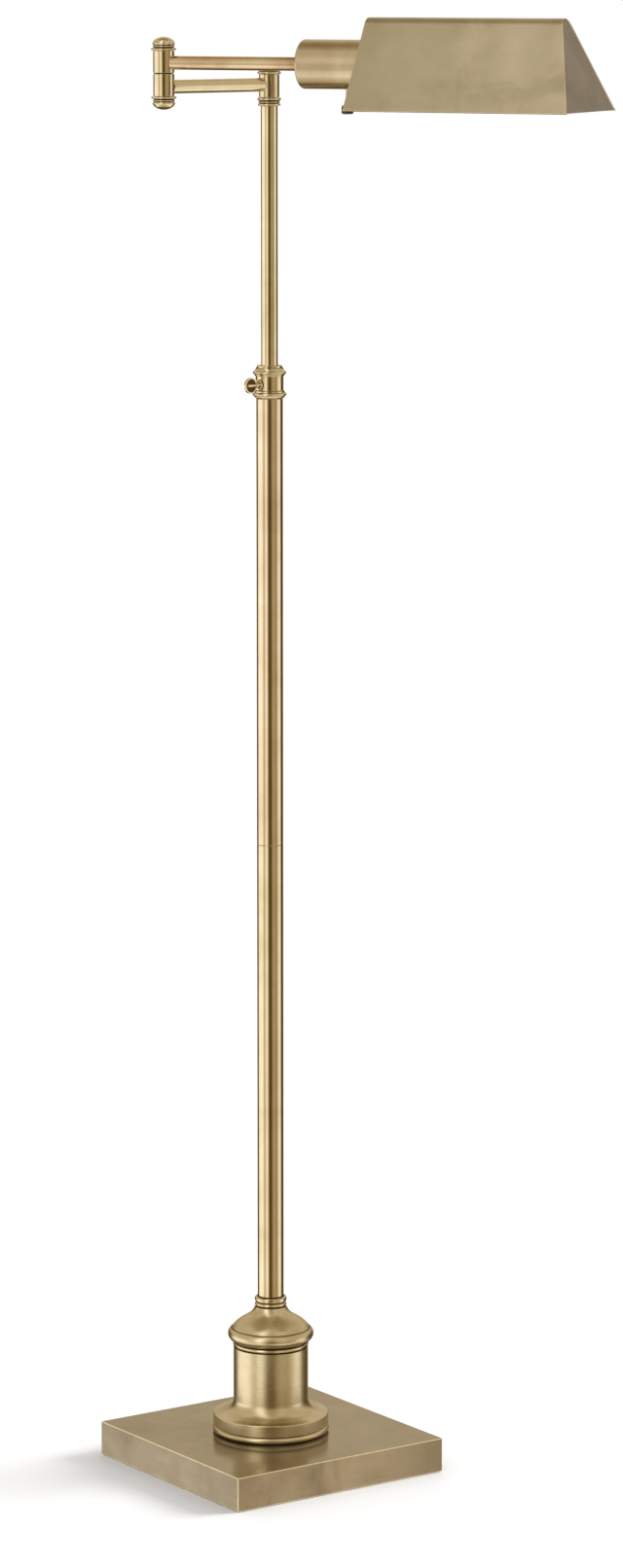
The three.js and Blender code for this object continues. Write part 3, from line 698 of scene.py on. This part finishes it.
for name, node, body in (("elbow_lower_barrel_tube", "elbow_lower_barrel", "lower_arm"),
                         ("elbow_upper_barrel_tube", "elbow_upper_barrel", "upper_arm")):
    low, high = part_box(node)
    length = (high.z - low.z) / MM
    barrel = turned(name, [
        (5.4, 0), (9.85, 0), (9.85, length), (5.4, length), (5.4, 0)], low.z, 80, 0.3)
    barrel.location = (elbow_axis.x, elbow_axis.y, 0)
    place_in_mesh(barrel)
    finish(barrel, body, "aged_brass", (turned_brass,), node)

for name, node, flip in (("elbow_top_finial_turning", "elbow_top_finial", 0),
                         ("elbow_bottom_finial_turning", "elbow_bottom_finial", math.pi)):
    low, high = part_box(node)
    finial = turned(name, [
        (5.3, 6), (5.3, 0), (10.5, 0), *bead(11.8, 1.05, 0.9), (10.4, 2.1), (9.3, 2.4), (9.3, 3),
        *bead(10.3, 3.75, 0.7, 6), (9.3, 4.5), (9.3, 5), (10.1, 5.2), *bow((9.6, 6.3), 1.0, -60, 50, 5),
        *bow((0, -1.9), 14.3, 50, 86, 9), (0, 12.4)], 0, 80, 0.1, ((2.2, 3.1), (4.4, 5.15)))
    finial.rotation_euler = (flip, 0, 0)
    finial.location = (elbow_axis.x, elbow_axis.y, high.z if flip else low.z)
    place_in_mesh(finial)
    finish(finial, "lower_arm", "aged_brass", (turned_brass, groove_patina_and_shade_brass), node)


# ---- Socket cup, switch and lampholder ----------------------------------------------------------
# A spun brass cup rolls on the end of the upper arm and carries the shade. The black phenolic
# lampholder inside it takes the bulb, and its turn switch hangs below on a thin stem.

cup_brass = brass("antique_brass_spun_cup", ("#a8977a", "#b6a788", "#c2b598"), "x", 0.22, upper_angle,
                  0.04, 0.12)
CUP_START = 143
CUP_END = 208.2
CUP_RADIUS = 22.6
CUP_WALL = 1.2
cup = turned("socket_cup_spinning", [
    (6.7, CUP_START), *bow((CUP_RADIUS - 2, CUP_START + 2), 2, -90, 0, 5), (CUP_RADIUS, CUP_END),
    (CUP_RADIUS - CUP_WALL, CUP_END), (CUP_RADIUS - CUP_WALL, CUP_START + 2.4),
    (6.7, CUP_START + 2), (6.7, CUP_START)], 0, 96, 0.15)
lay_along(cup, arm_start, upper_angle)
finish(cup, "shade", "aged_brass", (cup_brass,), "socket_cup")


def phenolic(name, colour="#171412", roughness=0.28):
    """Moulded phenolic or hard plastic: near black, faintly mottled by the filler, soft gloss."""
    material = bpy.data.materials.new(name)
    material.use_nodes = True
    tree = material.node_tree
    shader = tree.nodes["Principled BSDF"]
    place = add_node(tree, "ShaderNodeTexCoord").outputs["Object"]
    mottle = add_node(tree, "ShaderNodeTexNoise", {
        "Vector": place, "Scale": 900.0, "Detail": 3.0}).outputs["Fac"]
    dark, light = linear(colour), linear("#26211d")
    tree.links.new(ramp(tree, mottle, [(0.4, dark), (0.75, light)]), shader.inputs["Base Color"])
    gloss = add_node(tree, "ShaderNodeMapRange", {
        "Value": mottle, "To Min": roughness - 0.05, "To Max": roughness + 0.1}).outputs["Result"]
    tree.links.new(gloss, shader.inputs["Roughness"])
    shader.inputs["IOR"].default_value = 1.6
    return material


black_phenolic = phenolic("moulded_phenolic")
knob_low, knob_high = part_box("switch_knob")
knob_centre = (knob_low + knob_high) / 2
knob_height = (knob_high.z - knob_low.z) / MM
knob = turned("switch_knob_moulding", [
    (0, 0), (4, 0), (5.1, 0.5), (5.5, 1.2), (5.5, knob_height - 1.4), (4.6, knob_height),
    (1.8, knob_height), (1.8, knob_height - 5), (0, knob_height - 5)], 0, 48, 0.2)


def flute_place(face, step):
    """Which step of this many degrees round Z a face stands on."""
    middle = face.calc_center_median()
    return round(math.degrees(math.atan2(middle.y, middle.x)) / step - 0.5)


edit(knob)
pick(knob, "faces", lambda face: abs(face.normal.z) < 0.1 and flute_place(face, 7.5) % 2 == 0
     and face.calc_center_median().xy.length > 5.3 * MM)
bpy.ops.mesh.extrude_region_shrink_fatten(TRANSFORM_OT_shrink_fatten={"value": -0.35 * MM})
bpy.ops.object.mode_set(mode="OBJECT")
knob.location = (knob_centre.x, knob_centre.y, knob_low.z)
place_in_mesh(knob)
finish(knob, "switch", "black_plastic", (black_phenolic,), "switch_knob")

HOLDER_RADIUS = 17.4
holder = turned("lampholder_moulding", [
    (0, 165), (15.4, 165), *bow((15.4, 167), 2, -90, 0, 4), (17.4, 200), (16.9, 200.4), (16.9, 201.6),
    (17.4, 202), (17.4, 218.5), (14.7, 218.5), (14.7, 173), (0, 173)], 0, 72, 0.2)
lay_along(holder, arm_start, upper_angle)
finish(holder, "shade", "black_plastic", (black_phenolic,), "lampholder")

clamp_ring = turned("shade_clamp_ring", [
    (17.7, 210), (21.4, 210), (22, 210.6), (22, 213.4), (21.4, 214), (17.7, 214), (17.7, 210)],
    0, 72, 0.2)
edit(clamp_ring)
pick(clamp_ring, "faces", lambda face: abs(face.normal.z) < 0.1 and flute_place(face, 5) % 4 == 0
     and face.calc_center_median().xy.length > 21.8 * MM)
bpy.ops.mesh.extrude_region_shrink_fatten(TRANSFORM_OT_shrink_fatten={"value": -0.6 * MM})
bpy.ops.object.mode_set(mode="OBJECT")
lay_along(clamp_ring, arm_start, upper_angle)
finish(clamp_ring, "shade", "black_plastic", (black_phenolic,), "shade_ring")


# ---- Bulb ---------------------------------------------------------------------------------------
# A tubular opal lamp on a standard screw cap, lying along the shade.

opal = bpy.data.materials.new("opal_glass")
opal.use_nodes = True
opal_shader = opal.node_tree.nodes["Principled BSDF"]
opal_place = add_node(opal.node_tree, "ShaderNodeTexCoord").outputs["Object"]
opal_mist = add_node(opal.node_tree, "ShaderNodeTexNoise", {
    "Vector": opal_place, "Scale": 60.0, "Detail": 2.0}).outputs["Fac"]
opal.node_tree.links.new(ramp(opal.node_tree, opal_mist, [
    (0.3, linear("#efece4")), (0.7, linear("#fbfaf6"))]), opal_shader.inputs["Base Color"])
opal_shader.inputs["Roughness"].default_value = 0.12
opal_shader.inputs["IOR"].default_value = 1.52
opal_shader.inputs["Subsurface Weight"].default_value = 0.3
opal_shader.inputs["Subsurface Scale"].default_value = 0.003

bulb = turned("bulb_envelope", [
    (0, 212.8), (12.6, 212.8), *bow((6, 222.5), 9, -42, 0, 5), *bow((0, 307), 15, 0, 84, 10), (0, 322)],
    0, 72, 0)
lay_along(bulb, arm_start, upper_angle)
finish(bulb, "shade", "opal_glass", (opal,), "bulb_glass")


# ---- Shade --------------------------------------------------------------------------------------
# The body is one brass sheet bent over a rounded ridge, with a folded hem along each lower edge;
# flat end plates are set in its ends and soldered. White enamel inside, satin brass outside.

HALF_WIDTH = 60.5               # at the hem
HEM = -40.2                     # heights from the arm's axis
TOP = 43.5
RIDGE_RADIUS = 13.5
SHEET = 1.2
SHADE_START = 208.5
SHADE_END = 426.5
FAR_LEAN = 26                   # how far the far end leans in from hem to ridge
HEM_HEIGHT = 2.0
HEM_PROUD = 0.5
OVER = 20                       # mm drawn past each end before it is trimmed

shade_from, shade_to = [
    (elbow_axis.x * math.cos(upper_angle) + elbow_axis.y * math.sin(upper_angle)) + along * MM
    for along in (SHADE_START, SHADE_END)]
SHADE_TONES = ("#a0967b", "#b8ad94", "#c2b8a1")
SHADE_BANDS = (                 # place from the near end to the far one, share of the dark left there
    (0, 0.75), (0.12, 0.6), (0.3, 0.45), (0.4, 0.5), (0.52, 0.1), (0.6, 0.35), (0.72, 0.05),
    (0.84, 0.3), (0.95, 0.0))
shade_brass = brass("satin_brass_shade_sheet", SHADE_TONES, "yz", 0.32, upper_angle,
                    bands=(shade_from, shade_to, SHADE_BANDS))
# The end plates take a greyer, duller copy of the shade's brass: a painted reflection of the dim studio
# behind the far end.
end_plate_painted_reflection_brass = brass("satin_brass_end_plate", ("#8a8279", "#948c84", "#9e978e"), "z", 0.38, upper_angle)

enamel = bpy.data.materials.new("white_stove_enamel")
enamel.use_nodes = True
enamel_shader = enamel.node_tree.nodes["Principled BSDF"]
enamel_place = add_node(enamel.node_tree, "ShaderNodeTexCoord").outputs["Object"]
orange_peel = add_node(enamel.node_tree, "ShaderNodeTexNoise", {
    "Vector": enamel_place, "Scale": 400.0, "Detail": 2.0}).outputs["Fac"]
enamel_shader.inputs["Base Color"].default_value = linear("#f1eee6")
enamel_shader.inputs["Roughness"].default_value = 0.3
enamel.node_tree.links.new(add_node(enamel.node_tree, "ShaderNodeBump", {
    "Height": orange_peel, "Strength": 0.1, "Distance": 0.0001}).outputs["Normal"],
    enamel_shader.inputs["Normal"])


def tent(inset, low=HEM, steps=16):
    """The shade's section from one hem to the other, as (across, up) in mm."""
    radius, half_width = RIDGE_RADIUS - inset, HALF_WIDTH - inset
    middle = TOP - RIDGE_RADIUS
    rise = middle - HEM
    lean = math.degrees(math.acos(radius / math.hypot(half_width, rise)) - math.atan2(rise, half_width))

    def panel(height):
        return half_width - (height - HEM) * math.tan(math.radians(lean))

    side = [(panel(low), low), (panel(low + HEM_HEIGHT), low + HEM_HEIGHT)]
    other_side = [(-y, z) for y, z in reversed(side)]
    return [*side, *bow((0, middle), radius, lean, 180 - lean, steps), *other_side]


def drawn_sheet(name, section, start, end):
    """A sheet drawn along X: a first strip, then its edge extruded from point to point."""
    (y0, z0), (y1, z1) = section[0], section[1]
    strip = math.hypot(y1 - y0, z1 - z0)
    deselect_all()
    bpy.ops.mesh.primitive_plane_add(
        size=1, location=((start + end) / 2 * MM, (y0 + y1) / 2 * MM, (z0 + z1) / 2 * MM),
        rotation=(math.atan2(z1 - z0, y1 - y0), 0, 0))
    sheet = bpy.context.object
    sheet.name = name
    sheet.scale = ((end - start) * MM, strip * MM, 1)
    place_in_mesh(sheet)
    edit(sheet)
    pick(sheet, "edges", lambda edge: all(abs(vert.co.z - z1 * MM) < 1e-6 for vert in edge.verts))
    for (ya, za), (yb, zb) in zip(section[1:], section[2:]):
        step = (0, (yb - ya) * MM, (zb - za) * MM)
        bpy.ops.mesh.extrude_edges_move(TRANSFORM_OT_translate={"value": step})
    leave_edit()
    return sheet


def trim(piece, hem, lean, outward, fill=False):
    """Cut a piece off on a plane that leans back from the hem line by lean over the shade's height."""
    edit(piece)
    bpy.ops.mesh.select_all(action="SELECT")
    angle = math.atan2(lean, TOP - HEM)
    bpy.ops.mesh.bisect(
        plane_co=(hem * MM, 0, HEM * MM),
        plane_no=(outward * math.cos(angle), 0, math.sin(angle)),
        use_fill=fill, clear_outer=True, threshold=0.000001)
    bpy.ops.mesh.select_all(action="DESELECT")
    bpy.ops.object.mode_set(mode="OBJECT")


def put_on_arm(piece):
    """From the shade's own place, X along the arm, to its place in the row."""
    piece.matrix_world = (Matrix.Translation((elbow_axis.x, elbow_axis.y, upper_height))
                          @ Matrix.Rotation(upper_angle, 4, "Z"))
    place_in_mesh(piece)


body_sheet = drawn_sheet("shade_body_sheet", tent(HEM_PROUD), SHADE_START - OVER, SHADE_END + OVER)
trim(body_sheet, SHADE_START, 0, -1)
trim(body_sheet, SHADE_END, FAR_LEAN, 1)
for material in (shade_brass, enamel, rubbed_edge_and_painted_highlight):
    body_sheet.data.materials.append(material)
edit(body_sheet)
bpy.ops.mesh.select_all(action="SELECT")
bpy.ops.mesh.normals_make_consistent(inside=False)
bpy.ops.object.mode_set(mode="OBJECT")
ridge_face = max(body_sheet.data.polygons, key=lambda face: face.center.z)
if ridge_face.normal.z < 0:
    edit(body_sheet)
    bpy.ops.mesh.select_all(action="SELECT")
    bpy.ops.mesh.flip_normals()
    bpy.ops.object.mode_set(mode="OBJECT")
apply(body_sheet, "SOLIDIFY", thickness=SHEET * MM, offset=-1, use_even_offset=True,
      material_offset=1, material_offset_rim=0)
edit(body_sheet)
pick(body_sheet, "faces", lambda face: face.material_index == 0 and abs(face.normal.x) < 0.2
     and face.normal.z > 0.2 and face.calc_center_median().z < (HEM + HEM_HEIGHT) * MM)
bpy.ops.mesh.extrude_region_shrink_fatten(TRANSFORM_OT_shrink_fatten={"value": HEM_PROUD * MM})
bpy.ops.object.mode_set(mode="OBJECT")
# The body's bevels take the pale edge brass: worn edges with a painted highlight.
apply(body_sheet, "BEVEL", width=0.3 * MM, segments=2, limit_method="ANGLE",
      angle_limit=math.radians(40), material=2)
smooth(body_sheet, 30)
put_on_arm(body_sheet)
finish(body_sheet, "shade", "aged_brass", (), "shade_body")


def end_plate(name, hem, lean, outward, recess):
    """A flat plate set in one end of the body, recessed a little from its edge."""
    section = tent(SHEET + HEM_PROUD + 0.2, HEM + 0.2)
    plate = drawn_sheet(name, section, SHADE_START - OVER, SHADE_END + OVER)
    edit(plate)
    pick(plate, "edges", lambda edge: edge.is_boundary
         and all(abs(vert.co.z - section[0][1] * MM) < 1e-6 for vert in edge.verts))
    bpy.ops.mesh.bridge_edge_loops()
    bpy.ops.object.mode_set(mode="OBJECT")
    trim(plate, hem - outward * recess, lean, outward, fill=True)
    trim(plate, hem - outward * (recess + SHEET), -lean, -outward, fill=True)
    edit(plate)
    leave_edit()
    apply(plate, "BEVEL", width=0.2 * MM, segments=2, limit_method="ANGLE",
          angle_limit=math.radians(40))
    return plate


def enamel_inside(plate, outward):
    """White enamel on the face of a plate that looks into the shade."""
    for face in plate.data.polygons:
        if face.normal.x * outward < -0.5:
            face.material_index = 1


far_plate = end_plate("shade_far_end_plate", SHADE_END, FAR_LEAN, 1, 0.5)
enamel_inside(far_plate, 1)
smooth(far_plate)
put_on_arm(far_plate)
finish(far_plate, "shade", "dark_brass", (end_plate_painted_reflection_brass, enamel), "shade_far_end")

near_plate = end_plate("shade_near_end_plate", SHADE_START, 0, -1, 0.3)
deselect_all()
bpy.ops.mesh.primitive_cylinder_add(
    vertices=72, radius=(HOLDER_RADIUS + 0.3) * MM, depth=40 * MM, location=(SHADE_START * MM, 0, 0),
    rotation=(0, math.pi / 2, 0))
punch = bpy.context.object
place_in_mesh(punch)
apply(near_plate, "BOOLEAN", operation="DIFFERENCE", object=punch, solver="EXACT")
bpy.data.objects.remove(punch)
enamel_inside(near_plate, -1)
smooth(near_plate)
put_on_arm(near_plate)
finish(near_plate, "shade", "aged_brass", (end_plate_painted_reflection_brass, enamel), "shade_near_end")


# ---- Inner parts --------------------------------------------------------------------------------
# The pieces the covers hide keep their plain shapes: cast iron, plated steel, bare brass, nylon,
# felt and black rubber, each with its own surface.


def plain(name, colours, roughness, metallic=0.0, scale=300.0, bump=0.0, stretch=(1, 1, 1)):
    """A plain engineering surface: two close tones in a fine noise, with a little relief."""
    material = bpy.data.materials.new(name)
    material.use_nodes = True
    tree = material.node_tree
    shader = tree.nodes["Principled BSDF"]
    place = add_node(tree, "ShaderNodeMapping", {
        "Vector": add_node(tree, "ShaderNodeTexCoord").outputs["Object"],
        "Scale": stretch}).outputs["Vector"]
    noise = add_node(tree, "ShaderNodeTexNoise", {
        "Vector": place, "Scale": scale, "Detail": 4.0}).outputs["Fac"]
    tree.links.new(ramp(tree, noise, [(0.35, linear(colours[0])), (0.65, linear(colours[1]))]),
                   shader.inputs["Base Color"])
    gloss = add_node(tree, "ShaderNodeMapRange", {
        "Value": noise, "To Min": roughness - 0.08, "To Max": roughness + 0.08}).outputs["Result"]
    tree.links.new(gloss, shader.inputs["Roughness"])
    if bump:
        raised = add_node(tree, "ShaderNodeBump", {
            "Height": noise, "Strength": 0.4, "Distance": bump * MM}).outputs["Normal"]
        tree.links.new(raised, shader.inputs["Normal"])
    shader.inputs["Metallic"].default_value = metallic
    return material


sand_cast_iron = plain("sand_cast_iron", ("#33322f", "#454340"), 0.75, 0.6, 500, 0.3)
zinc_steel = plain("zinc_plated_steel", ("#9a9fa3", "#b4b8ba"), 0.38, 1.0, 220)
bare_brass = plain("bare_turned_brass", ("#b8954a", "#cfae62"), 0.35, 1.0, 40, 0, (1, 1, 40))
black_fibre = plain("black_fibre_washer", ("#161412", "#231f1b"), 0.6)
moulded_nylon = plain("moulded_nylon", ("#ddd7c8", "#e8e3d6"), 0.5)
wool_felt = plain("pressed_wool_felt", ("#2b2825", "#3d3935"), 0.92, 0.0, 1400, 0.25)
black_rubber = plain("moulded_black_rubber", ("#141414", "#1f1e1d"), 0.6, 0.0, 700, 0.05)

for material, nodes in (
        (sand_cast_iron, ("base_weight",)),
        (zinc_steel, ("base_pan", "tie_rod", "tie_nut", "tie_washer", "tee_spindle", "elbow_pin",
                      "bulb_cap")),
        (bare_brass, ("pole_coupler", "swivel_nut", "screw_shell", "centre_contact", "switch_stem")),
        (moulded_nylon, ("rod_bush", "rod_stop")),
        (black_fibre, ("elbow_washer",)),
        (wool_felt, ("base_felt",)),
        (black_rubber, ("cord_grommet",))):
    for node in nodes:
        slots = frame["nodes"][node].data.materials
        slots.clear()
        slots.append(material)
